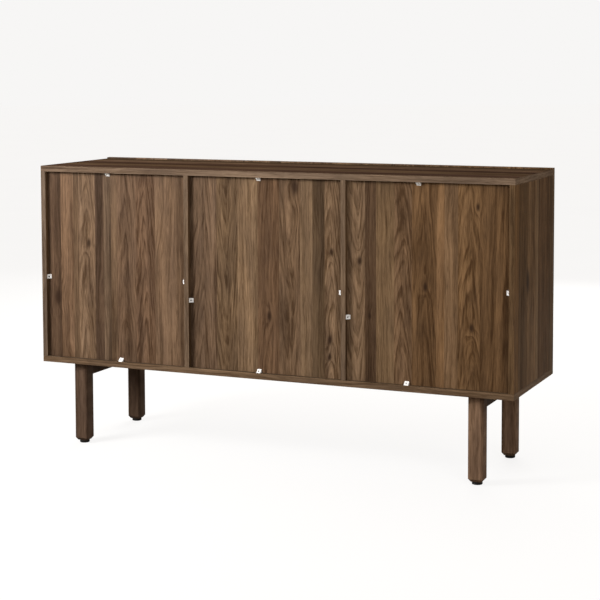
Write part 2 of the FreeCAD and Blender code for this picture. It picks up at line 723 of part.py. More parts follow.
for name, (x, y) in leg_places.items():
    save(f"leg_{name}", cut(leg(x, y), leg_dowel_cuts[name]))
    bottom_cuts.append(rod((x, y, z_bay_low + 1), (0, 0, -1), leg_bolt_radius + fit, bottom_thickness + 2))
save("leg_glides", [glide(x, y) for x, y in leg_places.values()])
save("leg_inserts", [leg_insert(x, y) for x, y in leg_places.values()])
save("leg_bolts", [leg_bolt(x, y) for x, y in leg_places.values()])
save("rail_dowels", rail_dowels)
save("rail_screws", rail_screws)

# The carcass boards, with everything that was let into them.
top = board(-x_end, x_end, y_carcass_front, y_rear, z_bay_high, z_top, edge_ease)
save("top_panel", cut(top, top_cuts))
bottom = board(-x_end, x_end, y_carcass_front, y_rear, z_body, z_bay_low, edge_ease)
save("bottom_panel", cut(bottom, bottom_cuts))
for name, x0, x1, _, _ in uprights:
    upright = board(x0, x1, y_carcass_front, y_rear, z_bay_low, z_bay_high, edge_ease)
    save(name, cut(upright, board_cuts[name]))
save("cam_locks", cam_locks)
save("cam_bolts", cam_bolts)
save("carcass_dowels", dowels)
save("shelf_pins", pins)
save("back_clips", clips)
save("back_clip_screws", clip_screws)
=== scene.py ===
# %% [markdown]
# # A walnut sideboard, seen from behind
#
# The sideboard's boards, legs, fittings and hinges come from the CAD model and stay exactly
# where it put them. This notebook gives each of them the finish that the real thing has. Most
# of the work is in the wood: the boards are covered with narrow leaves of walnut veneer, laid
# side by side, and each leaf has a tone and a figure of its own.

# %% Load the CAD model
import math

import bmesh
import bpy
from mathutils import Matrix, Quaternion, Vector


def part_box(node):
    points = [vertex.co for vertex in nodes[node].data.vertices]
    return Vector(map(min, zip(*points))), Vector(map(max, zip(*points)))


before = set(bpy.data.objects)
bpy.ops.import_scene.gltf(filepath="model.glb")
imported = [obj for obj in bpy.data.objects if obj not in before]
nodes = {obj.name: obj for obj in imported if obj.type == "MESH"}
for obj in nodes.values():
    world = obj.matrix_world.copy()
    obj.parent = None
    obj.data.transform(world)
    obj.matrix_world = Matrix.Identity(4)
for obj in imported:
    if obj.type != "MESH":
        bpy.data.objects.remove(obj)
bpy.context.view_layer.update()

MM = 0.001

# %% [markdown]
# ## The camera
#
# A long lens stands a good way off, behind the sideboard and to its right, a little above the
# top. A photographer of furniture keeps the uprights upright by shifting the lens instead of
# tilting the camera, so some of the framing is lens shift here too. More of it would push the
# sideboard out of the frame when the camera goes round to other sides.

# %% Camera
azimuth, elevation, roll = (math.radians(angle) for angle in (203.68, 4.21, -0.165))
camera_distance = 4.75
aim = Vector((-0.027, 0.0, 0.8205))

back = Vector((math.sin(azimuth) * math.cos(elevation),
               -math.cos(azimuth) * math.cos(elevation),
               math.sin(elevation)))
camera = bpy.data.objects.new("camera", bpy.data.cameras.new("camera"))
camera.data.lens = 95.3
camera.data.shift_y = -0.2
camera.data.clip_end = 200.0
camera.location = aim + back * camera_distance
camera.rotation_mode = "QUATERNION"
camera.rotation_quaternion = (-back).to_track_quat("-Z", "Y") @ Quaternion((0, 0, 1), roll)
bpy.context.scene.collection.objects.link(camera)
bpy.context.scene.camera = camera
print("camera at", [round(v, 3) for v in camera.location])

# %% [markdown]
# ## Colours
#
# Colours are written as the hex values a paint chart gives, which are sRGB. Shader sockets want
# linear light, so one function turns one into the other, and no colour has to be worked out by
# hand.

# %% From hex to linear light
def hex_colour(text):
    """An sRGB hex value, such as #7c6049, as linear red, green and blue, with alpha 1."""
    channels = [int(text[i:i + 2], 16) / 255 for i in (1, 3, 5)]
    return [c / 12.92 if c <= 0.04045 else ((c + 0.055) / 1.055) ** 2.4
            for c in channels] + [1.0]


print("tan walnut, linear:", [round(c, 3) for c in hex_colour("#7c6049")])

# %% [markdown]
# ## Nodes
#
# Every finish is a small tree of shader nodes. Placing and wiring them by hand takes many lines
# that all look alike. Here `feed` gives a node's sockets their values or their sources, and
# `add` makes a node, sets it up and feeds it, so each line below says what one node does.

# %% Adding and wiring nodes
MIX_A, MIX_B = 6, 7        # the colour sockets of a Mix node


def feed(tree, node, inputs):
    """Gives each socket in `inputs` a value, or the node or socket that feeds it."""
    for socket, source in inputs.items():
        if isinstance(source, bpy.types.Node):
            source = next(output for output in source.outputs if output.enabled)
        if isinstance(source, bpy.types.NodeSocket):
            tree.links.new(source, node.inputs[socket])
        else:
            node.inputs[socket].default_value = source


def add(tree, kind, inputs=None, stops=(), blend="LINEAR", **settings):
    """Adds a node with its settings, its inputs and, on a colour ramp, its stops."""
    made = tree.nodes.new("ShaderNode" + kind)
    for name, value in settings.items():
        setattr(made, name, value)
    feed(tree, made, inputs or {})
    if stops:
        made.color_ramp.interpolation = blend
        ramp = made.color_ramp.elements
        while len(ramp) < len(stops):
            ramp.new(1.0)
        for element, (position, colour) in zip(ramp, stops):
            element.position = position
            element.color = colour
    return made


print("helpers ready:", feed.__name__, add.__name__)

# %% [markdown]
# ## The figure of walnut
#
# A tree grows in cones, one inside the other. A flat cut through them shows long straight lines
# where it passes far from the heart, and stacked arches where it passes near. A plain stretched
# noise has the lines but never the arches. So the pattern measures how far a point lies from
# the heart and lets that change slowly along the board. One node group holds it, and every
# wooden part uses it.
#
# What varies in it is noise drawn out along the grain. Its sizes are real ones in millimetres,
# across and along the grain, and each leaf reads a slice of its own, so no two are alike.

# %% The figure's node group
figure = bpy.data.node_groups.new("walnut_figure", "ShaderNodeTree")
for name in ("Across", "Depth", "Along", "Rise", "Leaf", "Push"):
    figure.interface.new_socket(name, in_out="INPUT", socket_type="NodeSocketFloat")
# The third output is a painted sheen: patches where the grain would catch the light, drawn as
# colour.
for name in ("Dark", "Pores", "PaintedSheen"):
    figure.interface.new_socket(name, in_out="OUTPUT", socket_type="NodeSocketFloat")
given = figure.nodes.new("NodeGroupInput").outputs


def drawn_out(across, wide, long, apart, detail, roughness=0.5, leaf=None):
    """Noise about `wide` by `long` millimetres, in slices `apart` from one leaf to the next."""
    place = add(figure, "CombineXYZ", {0: across, 1: leaf or given["Leaf"], 2: given["Along"]})
    cells = (1 / (wide * MM), apart, 1 / (long * MM))
    place = add(figure, "VectorMath", {0: place, 1: cells}, operation="MULTIPLY")
    return add(figure, "TexNoise", {"Vector": place, "Scale": 1.0, "Detail": detail,
                                    "Roughness": roughness})


print("figure takes:", [socket.name for socket in given if socket.name])

# %% [markdown]
# ## The lines of the figure
#
# The trunk isn't straight, so the distance from the heart is taken from a place that sways to
# and fro along the board. The heart's distance, the climb and the push of the knots add up to
# one number, and a line runs wherever that number is the same. Two arms of an arch would mirror
# each other, which real ones don't: a lean and a ripple that differs from side to side stop it.

# %% Distance from the heart
sway_reach = 44 * MM       # how far the heart wanders across the board
side_change = 4.0          # how fast the noise changes from one arm of an arch to the other
lean = 0.3                 # how much steeper one arm of an arch is than the other
ripple_reach = 8 * MM

sway = drawn_out(given["Across"], 71.43, 384.6, 7.3, 2.0)
sway = add(figure, "Math", {0: sway, 1: sway_reach, 2: -sway_reach / 2},
           operation="MULTIPLY_ADD")
swayed = add(figure, "Math", {0: given["Across"], 1: sway}, operation="ADD")
one_sided = add(figure, "Math", {0: swayed, 1: side_change, 2: given["Leaf"]},
                operation="MULTIPLY_ADD")
from_heart = add(figure, "CombineXYZ", {0: swayed, 1: given["Depth"]})
from_heart = add(figure, "VectorMath", {0: from_heart}, operation="LENGTH")
line = add(figure, "Math", {0: given["Along"], 1: given["Rise"], 2: from_heart},
           operation="MULTIPLY_ADD")
line = add(figure, "Math", {0: swayed, 1: lean, 2: line}, operation="MULTIPLY_ADD")
line = add(figure, "Math", {0: line, 1: given["Push"]}, operation="ADD")
ripple = drawn_out(line, 13.333, 142.86, 3.1, 3.0, leaf=one_sided)
line = add(figure, "Math", {0: ripple, 1: ripple_reach, 2: line}, operation="MULTIPLY_ADD")
print("lines of the figure:", len(figure.nodes), "nodes")

# %% [markdown]
# ## Rings, bands, streaks, flecks and pores
#
# Walnut's darkness has several parts. The year's rings and the fine streaks follow the lines.
# Broad bands of colour, short flecks and the pores run nearly straight, with the sway alone.
# The painted sheen is patches of lighter and darker colour, drawn where the grain dips and
# would take the light another way: a sheen painted into the colour. Real rings are a few
# millimetres wide and real pores a fifth of one. From here they would melt into one tone, so
# both are drawn coarser than they are.

# %% The patterns
bands = drawn_out(swayed, 21.74, 1111.0, 5.7, 3.0, 0.55)
streaks = drawn_out(line, 8.3333, 500.0, 11.3, 4.0, 0.65, one_sided)
flecks = drawn_out(swayed, 3.3333, 50.0, 13.1, 3.0, 0.7)
pores = drawn_out(swayed, 1.7857, 29.41, 17.9, 1.0)
# This noise sets the rings' strength and the painted sheen, lighter and darker patches of
# colour.
ring_and_sheen_noise = drawn_out(given["Across"], 38.46, 153.85, 3.9, 2.0)

amounts = {                # the noise it comes from, that noise's range, and what it becomes
    "rings": (ring_and_sheen_noise, 0.40, 0.65, 0.0, 0.16),
    "streaks": (streaks, 0.38, 0.64, 0.0, 0.5),
    "bands": (bands, 0.36, 0.64, 0.0, 0.42),
    "flecks": (flecks, 0.30, 0.70, -0.26, 0.26),
    "pores": (pores, 0.56, 0.70, 0.0, 1.0),
    "painted_sheen": (ring_and_sheen_noise, 0.30, 0.70, 0.0, 1.0),
}
amount = {}
for name, (noise, low, high, least, most) in amounts.items():
    amount[name] = add(figure, "MapRange", {"Value": noise, "From Min": low, "From Max": high,
                                            "To Min": least, "To Max": most})
print("patterns:", ", ".join(amount))

# %% [markdown]
# ## The darkness of a point
#
# A ring is pale where the spring's wood begins, darkens slowly and ends sharply. It shows more
# on leaves whose figure climbs, because those are cut near the heart. The parts are added up,
# and the group hands out the darkness, the pores and the painted sheen.

# %% Adding the patterns up
ring_width = 11 * MM       # several times a real one, which is too fine to show
ring_drift = 2.0           # where the bands change, the rings shift by up to this many
arch_contrast = 2.2        # how much more the rings show for each unit of climb
pale, middling, darkest = ((grey, grey, grey, 1) for grey in (0.1, 0.2, 1.0))

turns = add(figure, "Math", {0: line, 1: ring_width}, operation="DIVIDE")
turns = add(figure, "Math", {0: bands, 1: ring_drift, 2: turns}, operation="MULTIPLY_ADD")
turns = add(figure, "Math", {0: turns}, operation="FRACT")
late_wood = add(figure, "ValToRGB", {0: turns},
                stops=[(0.0, pale), (0.5, middling), (0.86, darkest), (1.0, pale)])
climb = add(figure, "Math", {0: given["Rise"]}, operation="ABSOLUTE")
rings = add(figure, "Math", {0: climb, 1: arch_contrast, 2: amount["rings"]},
            operation="MULTIPLY_ADD")
dark = add(figure, "Math", {0: late_wood, 1: rings, 2: amount["streaks"]},
           operation="MULTIPLY_ADD")
dark = add(figure, "Math", {0: dark, 1: amount["bands"]}, operation="ADD")
dark = add(figure, "Math", {0: dark, 1: amount["flecks"]}, operation="ADD", use_clamp=True)
handed_out = figure.nodes.new("NodeGroupOutput")
feed(figure, handed_out, {"Dark": dark, "Pores": amount["pores"], "PaintedSheen": amount["painted_sheen"]})
print("walnut figure:", len(figure.nodes), "nodes")

# %% [markdown]
# ## Leaves
#
# A board's face is a row of leaves, a few centimetres wide and as long as the board. Each is
# given by its width in millimetres, its tone, where the heart of its figure lies, in
# millimetres from the leaf's own first edge, and how fast the figure climbs: 0 is straight
# grain, a plus makes arches that point up and a minus makes arches that point down.
#
# The leaves could be separate strips, each with a material, but the board is one piece. Two
# colour ramps with sharp steps carry the row across it instead. One holds the tones. The other
# holds the heart, the climb and a number for each leaf in its red, green and blue, so they are
# brought between 0 and 1 first.

# %% A row of leaves as two stepped ramps
heart_reach = 1.6          # a heart lies within this many metres of the board's first edge
rise_reach = 0.4           # the steepest climb that can be written
leaf_ids = 32.0            # more than the leaves of any board


def as_colour(heart, rise, number):
    """A leaf's heart in metres, its climb and its number, as one colour."""
    return (0.5 + heart / (2 * heart_reach), 0.5 + rise / (2 * rise_reach),
            number / leaf_ids, 1)


def laid_leaves(tree, over, leaves):
    """The tone and the figure of the leaf at `over` metres from the board's first edge."""
    span, reached, tones, figures = sum(leaf[0] for leaf in leaves), 0.0, [], []
    for number, (width, tone, heart, rise) in enumerate(leaves):
        tones.append((reached / span, hex_colour(tone)))
        figures.append((reached / span, as_colour((reached + heart) * MM, rise, number)))
        reached += width
    share = add(tree, "Math", {0: over, 1: span * MM}, operation="DIVIDE", use_clamp=True)
    return [add(tree, "ValToRGB", {0: share}, stops=stops, blend="CONSTANT")
            for stops in (tones, figures)]


print("straight grain, heart at the first edge:", as_colour(0.0, 0.0, 0))

# %% [markdown]
# ## Edge bands
#
# A board's edge is covered with a thin strip of veneer, whose grain runs along the edge. Drawn
# on from the face, the figure would run across it in slanting stripes. So where the surface
# faces sideways, the material changes to a tone and a figure of the strip's own, measured
# through the board and along the edge.

# %% Swapping in the edge band
face_cosine = 0.6          # turned more than 53 degrees from the face, it is an edge
edge_figure = as_colour(256 * MM, 0.0, 28.8)


def edge_band(tree, spot, across, grain, face, edge, row):
    """`row` is what the face has at a point: its places over and along, tone and figure."""
    facing = add(tree, "VectorMath", {0: spot.outputs["Normal"], 1: face},
                 operation="DOT_PRODUCT")
    facing = add(tree, "Math", {0: facing}, operation="ABSOLUTE")
    on_edge = add(tree, "Math", {0: facing, 1: face_cosine}, operation="LESS_THAN")
    through, lengthwise = (
        add(tree, "VectorMath", {0: spot.outputs["Object"], 1: way}, operation="DOT_PRODUCT")
        for way in (face, Vector(across) + Vector(grain)))
    over, along, tone, leaf = row
    return (add(tree, "Mix", {0: on_edge, 2: over, 3: through}),
            add(tree, "Mix", {0: on_edge, 2: along, 3: lengthwise}),
            add(tree, "Mix", {0: on_edge, MIX_A: tone, MIX_B: hex_colour(edge)},
                data_type="RGBA"),
            add(tree, "Mix", {0: on_edge, MIX_A: leaf, MIX_B: edge_figure}, data_type="RGBA"))


print("edge band's figure as a colour:", [round(v, 2) for v in edge_figure])

# %% [markdown]
# ## Knots
#
# A knot is where a branch left the trunk. The lines swerve round it and its middle is nearly
# black. It is longer along the grain than across it. Each one is given by its place and its
# size in millimetres: a smooth hill is added to the distance from the heart, which bends the
# lines, and a smaller spot is darkened.

# %% Knots
knot_stretch = 0.5         # a knot is half as wide as it is long
swerve = 3.5               # the lines bend out to this many times the knot's size
hill_height = 1.2          # and by this many times its size at the middle
core_rim, core_middle = 1.25, 0.2      # the black fades in between these, in knot sizes


def knots_in(tree, over, along, knots):
    """How far the knots push the lines, and how black they make the wood."""
    push, black = 0.0, 0.0
    flat = add(tree, "CombineXYZ", {0: over, 1: along})
    for x, z, size in knots:
        radius = size * MM
        near = add(tree, "VectorMath", {0: flat, 1: (x * MM, z * MM, 0)}, operation="SUBTRACT")
        near = add(tree, "VectorMath", {0: near, 1: (1 / radius, knot_stretch / radius, 0)},
                   operation="MULTIPLY")
        near = add(tree, "VectorMath", {0: near}, operation="LENGTH")
        hill = add(tree, "MapRange", {"Value": near, "From Min": swerve, "From Max": 0.0,
                                      "To Max": hill_height * radius},
                   interpolation_type="SMOOTHERSTEP")
        core = add(tree, "MapRange", {"Value": near, "From Min": core_rim,
                                      "From Max": core_middle}, interpolation_type="SMOOTHSTEP")
        push = add(tree, "Math", {0: push, 1: hill}, operation="ADD")
        black = add(tree, "Math", {0: black, 1: core}, operation="MAXIMUM")
    return push, black


print("a 10 mm knot bends the lines for", swerve * 10, "mm each way")

# %% [markdown]
# ## The colour of the wood
#
# A leaf's tone is about its average. The figure's darkness lightens it or deepens it by
# multiplying, which nearly keeps the hue, and the painted sheen, patches where the grain would
# catch the light, does the same more gently. Pores and knots are mixed in last, because they
# are holes and bark, with a dark brown of their own.

# %% Colouring a leaf
lightest, deepest = (1.5, 1.5, 1.5, 1), (0.42, 0.37, 0.32, 1)
# How far the painted sheen lightens and darkens the colour, where the grain would catch the
# light.
painted_sheen_dark, painted_sheen_light = (0.78, 0.78, 0.8, 1), (1.22, 1.22, 1.2, 1)
pore_brown, pore_strength = "#2a1c14", 0.3
knot_brown, knot_strength = "#2b1d15", 0.85


def wood_colour(tree, tone, seen, black):
    """The wood's colour, from a leaf's tone, the figure at the point and the knots' black."""
    wood = tone
    for by, low, high in (("Dark", lightest, deepest), ("PaintedSheen", painted_sheen_dark, painted_sheen_light)):
        times = add(tree, "Mix", {0: seen[by], MIX_A: low, MIX_B: high}, data_type="RGBA")
        wood = add(tree, "Mix", {0: 1.0, MIX_A: wood, MIX_B: times}, data_type="RGBA",
                   blend_type="MULTIPLY")
    for share, strength, brown in ((seen["Pores"], pore_strength, pore_brown),
                                   (black, knot_strength, knot_brown)):
        if share is not None:
            share = add(tree, "Math", {0: share, 1: strength}, operation="MULTIPLY")
            wood = add(tree, "Mix", {0: share, MIX_A: wood, MIX_B: hex_colour(brown)},
                       data_type="RGBA")
    return wood


print("the figure darkens a tone to", deepest[0], "of its red")

# %% [markdown]
# ## The figure at a point
#
# The second ramp's colour is turned back into a heart, a climb and a leaf number, and the group
# is told how far the point lies beside that heart. Veneer is so thin that the heart can be
# taken as lying just under it, at the same depth all over. In solid wood the depth is measured,
# so that the figure of one side meets the figure of the next.

# %% Asking the group
arch_round = 5 * MM        # the heart's depth under a veneer, which blunts the arches' tips


def figure_at(tree, spot, over, along, leaf, push, depth):
    """The group's outputs for a point of a leaf."""
    leaf = add(tree, "SeparateColor", {0: leaf})
    heart, rise = (add(tree, "MapRange", {"Value": leaf.outputs[i], "To Min": -reach,
                                          "To Max": reach})
                   for i, reach in enumerate((heart_reach, rise_reach)))
    beside = add(tree, "Math", {0: over, 1: heart}, operation="SUBTRACT")
    number = add(tree, "Math", {0: leaf.outputs[2], 1: leaf_ids}, operation="MULTIPLY")
    deep = arch_round
    if depth:
        deep = add(tree, "VectorMath", {0: spot.outputs["Object"], 1: depth},
                   operation="DOT_PRODUCT")
    return add(tree, "Group", {"Across": beside, "Depth": deep, "Along": along, "Rise": rise,
                               "Leaf": number, "Push": push}, node_tree=figure).outputs


print("heart under a veneer:", arch_round / MM, "mm")

# %% [markdown]
# ## Lacquered walnut
#
# The finish is a thin satin lacquer over the veneer or the solid wood. It is low in gloss, a
# little duller where the wood is dark, and it sinks into the pores, so the grain can be felt.
# That gives the eye a soft sheen and no reflections. One function puts the row of leaves, the
# edge band, the knots and the figure together in one material.

# %% One material for a board or a leg
satin = (0.34, 0.44)       # roughness of pale wood and of dark wood
grain_relief, relief_strength = 0.2 * MM, 0.25
pore_sink = -0.6           # a pore sinks this share of the relief


def walnut(name, across, grain, first_edge, leaves, knots=(), depth=None, face=None,
           edge="#6b5948", gloss=0.06):
    """Lacquered walnut. `across` and `grain` are directions, `first_edge` metres across."""
    material = bpy.data.materials.new(name)
    material.use_nodes = True
    tree = material.node_tree
    spot = add(tree, "TexCoord")
    over, along = (add(tree, "VectorMath", {0: spot.outputs["Object"], 1: way},
                       operation="DOT_PRODUCT") for way in (across, grain))
    over = add(tree, "Math", {0: over, 1: first_edge}, operation="SUBTRACT")
    tone, leaf = laid_leaves(tree, over, leaves)
    if face:
        row = (over, along, tone, leaf)
        over, along, tone, leaf = edge_band(tree, spot, across, grain, face, edge, row)
    push, black = knots_in(tree, over, along, knots) if knots else (0.0, None)

    seen = figure_at(tree, spot, over, along, leaf, push, depth)

    sheen = add(tree, "MapRange", {"Value": seen["Dark"], "To Min": satin[0],
                                   "To Max": satin[1]})
    relief = add(tree, "Math", {0: seen["Pores"], 1: pore_sink, 2: seen["Dark"]},
                 operation="MULTIPLY_ADD")
    relief = add(tree, "Bump", {"Strength": relief_strength, "Distance": grain_relief,
                                "Height": relief})
    feed(tree, tree.nodes["Principled BSDF"], {
        "Base Color": wood_colour(tree, tone, seen, black), "Roughness": sheen,
        "Normal": relief, "Specular IOR Level": gloss})
    return material


print("lacquer's roughness:", satin)

# %% [markdown]
# ## Giving a piece its finish
#
# A piece from the CAD model may come with one material slot, several or none. Every slot it has
# gets the same finish, because each piece here is made of one thing.

# %% Handing out finishes
def finish_nodes(material, *names):
    """Gives CAD nodes a material in every slot they have."""
    for name in names:
        mesh = nodes[name].data
        if not mesh.materials:
            mesh.materials.append(material)
        for slot in nodes[name].material_slots:
            slot.material = material


print("pieces to finish:", len(nodes))

# %% [markdown]
# ## The three back panels
#
# Seen from behind, the leaves run from the sideboard's +X end to its -X end. Their tones go
# from a light tan to a dark, greyish brown, as walnut's do between sapwood and heart. A knot
# is given by how far it lies from the panel's first edge, its height above the floor, which is
# where the CAD model has its zero, and its size.

# %% Back panels
back_leaves = {
    "right": [
        (43, "#4f3d2f", -150, 0.0), (46, "#68513e", -90, 0.02), (18, "#594635", -60, 0.0),
        (57, "#725c48", 30, 0.12), (31, "#4c3b2e", 120, 0.0), (25, "#594839", -80, 0.01),
        (21, "#614d3b", 90, 0.0), (66, "#634e3d", 32, 0.1), (65, "#68513f", 36, 0.14),
        (74, "#6b5542", 160, 0.02), (31, "#5c4837", -120, 0.0),
    ],
    "center": [
        (44.5, "#5d4a3a", 52, 0.12), (41, "#695442", -12, 0.1), (69, "#6b5641", 34, -0.13),
        (64, "#79624b", -140, 0.01), (69, "#624b38", 85, 0.06), (66, "#6c5642", 40, -0.1),
        (39, "#6f5a45", -90, 0.0), (37, "#544332", 130, 0.0), (56, "#79624c", 26, 0.16),
    ],
    "left": [
        (52.5, "#77604a", 34, -0.16), (34, "#513e2e", -80, 0.0), (54, "#6c563f", -60, 0.03),
        (53, "#735a43", 28, 0.16), (71, "#654c34", 40, 0.09), (23, "#75593e", 120, 0.0),
        (40, "#6d553e", -70, 0.0), (63, "#72573c", 40, 0.14), (86, "#604831", 96, 0.05),
    ],
}
back_knots = {
    "right": [(33, 455, 16), (144, 625, 9)],
    "center": [(256, 438, 9), (452, 633, 7), (447, 381, 9), (446, 331, 7), (338, 816, 15)],
    "left": [(38, 612, 8), (68, 457, 6), (233, 548, 8), (384, 776, 7), (367, 442, 8)],
}
groove = 5 * MM            # about this much of a panel's edge is hidden in its groove
for bay, leaves in back_leaves.items():
    side_of_bay = -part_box("back_panel_" + bay)[1].x + groove
    material = walnut("walnut_back_" + bay, (-1, 0, 0), (0, 0, 1), side_of_bay, leaves,
                      back_knots[bay], face=(0, 1, 0))
    finish_nodes(material, "back_panel_" + bay)
    print(bay, "bay:", len(leaves), "leaves,", round(sum(leaf[0] for leaf in leaves)), "mm")

# %% [markdown]
# ## The carcass
#
# The top's grain runs along the sideboard and the uprights' grain runs up, as it does where a
# maker folds one run of veneer over the corners. The top and the bottom share one row of
# leaves and the uprights another, some in reverse, so that few rows have to be written. That
# row is darker than the other leaves: partly darker walnut, partly painted shade, for a top
# face that gets little light. The top is seen at a low angle, where any gloss turns it pale.
# The real one stays dark there, so it has no gloss of its own.

# %% Carcass boards
# Darker tones: partly darker walnut, partly painted shade for the dimly lit top face.
top_leaves_with_painted_shade = [(60, "#403224", -200, 0.0), (80, "#574435", -150, 0.01),
              (70, "#3c2c22", 240, 0.0), (90, "#524030", 60, 0.02),
              (70, "#413026", -160, 0.0), (60, "#4c3b2e", 200, 0.0)]
end_leaves = [(34, "#5a4530", 90, 0.0), (122, "#604730", 60, 0.06),
              (22, "#755d44", -60, 0.02), (85, "#755a3f", 34, 0.06), (31, "#5c442c", 90, 0.0),
              (60, "#59422b", 28, 0.06), (62, "#6a4d2f", -100, 0.01)]
shelf_leaves = [(90, "#5f4939", -150, 0.01), (80, "#6b5340", 60, 0.04),
                (90, "#5a4535", 220, 0.0), (110, "#665040", -90, 0.02)]
front_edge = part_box("side_panel_left")[0].y


def board(node, leaves, upright, **rest):
    """Lays up a level board, with its grain along X, or an upright one, with its grain up."""
    grain, face = ((0, 0, 1), (1, 0, 0)) if upright else ((1, 0, 0), (0, 0, 1))
    finish_nodes(walnut("walnut_" + node, (0, 1, 0), grain, front_edge, leaves, face=face,
                        **rest), node)


board("top_panel", top_leaves_with_painted_shade, False, edge="#6f5d4d", gloss=0.0)
board("bottom_panel", top_leaves_with_painted_shade[::-1], False, edge="#685441")
board("side_panel_left", end_leaves, True, edge="#634d36", knots=[(263, 564, 20)])
board("side_panel_right", end_leaves[::-1], True, edge="#615245", knots=[(90, 420, 8)])
for side in ("left", "center", "right"):
    board("shelf_" + side, shelf_leaves, False)
    if side != "center":
        board("divider_" + side, end_leaves[::-1], True)
print("carcass boards laid up across", round(sum(leaf[0] for leaf in top_leaves_with_painted_shade)), "mm")

# %% [markdown]
# ## The doors
#
# The three doors are one long row of leaves, cut in three, so that the figure carries on from
# door to door. One material does for all of them, because it reads where a point lies on the
# closed sideboard. A door that swings takes its figure with it.

# %% Doors
door_leaves = back_leaves["left"][::-1] + back_leaves["center"] + back_leaves["right"][::-1]
walnut_door = walnut("walnut_door", (1, 0, 0), (0, 0, 1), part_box("door_left")[0].x,
                     door_leaves, face=(0, 1, 0))
finish_nodes(walnut_door, "door_left", "door_center", "door_right")
print("door leaves:", len(door_leaves))

# %% [markdown]
# ## Legs and rails
#
# These are solid walnut, sawn from one plank each. Their heart lies outside the leg, so the
# four sides show straight grain and the cut ends show the rings. Instead of a row of narrow
# leaves, the legs get one very wide leaf for each end of the sideboard and the rails one for
# both. A depth makes the rings go right through the wood.

# %% Legs and rails
leg_tone = [(1000, "#7a614d", 1180, 0.01), (1000, "#524135", 180, 0.01)]
rail_tone = [(2000, "#4f3b2c", 1060, 0.01)]
wide_leaf_edge = -1.0      # the first leaf starts a metre from the middle
legs = ("leg_front_left", "leg_front_right", "leg_rear_left", "leg_rear_right")
rails = ("leg_rail_left", "leg_rail_right")
finish_nodes(walnut("walnut_leg", (1, 0, 0), (0, 0, 1), wide_leaf_edge, leg_tone,
                    depth=(0, 1, 0.02)), *legs)
finish_nodes(walnut("walnut_rail", (1, 0, 0), (0, 1, 0), wide_leaf_edge, rail_tone,
                    depth=(0, 0, 1)), *rails)
print("legs and rails:", len(legs + rails))

# %% [markdown]
# ## Small parts
#
# Moulded plastic and plated metal look even from afar, but a perfectly even colour looks like
# paint. All of them get one recipe: a fine mottle moves the colour between two near tones,
# changes the gloss a little and lifts the surface by a fiftieth of a millimetre. Real mottle is
# finer still, and would not show at all. It takes less to read than a material for each.

# %% One function for the small parts
noise_low, noise_high = 0.3, 0.7       # nearly all of a noise lies between these
gloss_spread = 0.06
mottle_relief, mottle_strength = 0.02 * MM, 0.3


def small_part(name, light, dark, mottle_mm, rough, metal=0.0):
    """A moulded or plated finish, with a fine mottle about `mottle_mm` across."""
    material = bpy.data.materials.new(name)
    material.use_nodes = True
    tree = material.node_tree
    spot = add(tree, "TexCoord")
    mottle = add(tree, "TexNoise", {"Vector": spot.outputs["Object"],
                                    "Scale": 1 / (mottle_mm * MM), "Detail": 3.0})
    colour = add(tree, "Mix", {0: mottle, MIX_A: hex_colour(light), MIX_B: hex_colour(dark)},
                 data_type="RGBA")
    sheen = add(tree, "MapRange", {"Value": mottle, "From Min": noise_low,
                                   "From Max": noise_high, "To Min": rough - gloss_spread,
                                   "To Max": rough + gloss_spread})
    relief = add(tree, "Bump", {"Strength": mottle_strength, "Distance": mottle_relief,
                                "Height": mottle})
    feed(tree, tree.nodes["Principled BSDF"], {
        "Base Color": colour, "Roughness": sheen, "Normal": relief, "Metallic": metal})
    return material


print("mottle lifts the surface by", mottle_relief / MM, "mm")

# %% [markdown]
# ## Plastics and beech
#
# The wedge clips that hold the back panels are moulded nylon and the bright spots of this side.
# The glides under the legs are hard black plastic, the pads behind the doors soft vinyl, and
# the dowels beech. The pads are really clear, but so thin that the pale, milky look is all that
# shows, so they are drawn opaque.

# %% Plastics and beech
# Moulded nylon is an off-white that looks a little waxy, with a soft, broad shine.
finish_nodes(small_part("white_nylon", "#ffffff", "#f1efeb", 3.0, 0.45), "back_clips")
# Hard moulded plastic is nearly black and dull, so a glide reads as a thin dark foot.
finish_nodes(small_part("black_plastic", "#1d1b1a", "#121110", 1.5, 0.5), "leg_glides")
# Soft vinyl is milky and shinier than the wood round it.
finish_nodes(small_part("clear_vinyl", "#dcdcd6", "#c8c8c0", 1.5, 0.25), "door_bumpers")
# Turned beech is pale, even and dry, with nothing but a faint speckle.
beech = small_part("beech", "#c9a67c", "#b08c62", 2.0, 0.6)
finish_nodes(beech, "carcass_dowels", "rail_dowels")
print("plastics and beech: 5 nodes")

# %% [markdown]
# ## Metals
#
# Furniture fittings are mostly plated steel. The clips' screws are drawn dull and dark grey,
# much darker than the other steel: painted shade, for screw heads in the shade of their
# clips. Zinc makes the cams, bolts and pins bluish and a little blotchy, and nickel makes the
# hinges warmer and smoother. Metal has no colour but its reflection's, so all three are
# metallic, and what sets them apart is the tint and the roughness.

# %% Metals
# The clips' screw steel is drawn dull and dark grey as painted shade, so a screw reads as a
# small dark dot in its white clip.
screw_steel_painted_dark = small_part("clip_screw_steel_painted_shade", "#504f52", "#39383b", 1.5, 0.6, metal=1.0)
finish_nodes(screw_steel_painted_dark, "back_clip_screws")
# Nickel plate is smooth and warm, with the clearest reflections of the three.
nickel = small_part("nickel_plated_steel", "#c8c3b8", "#aaa599", 8.0, 0.26, metal=1.0)
nickel_nodes = [name for name in nodes if "screws" not in name and name.startswith(
    ("hinge_arms", "hinge_plates", "hinge_cups", "hinge_links"))]
finish_nodes(nickel, *nickel_nodes)
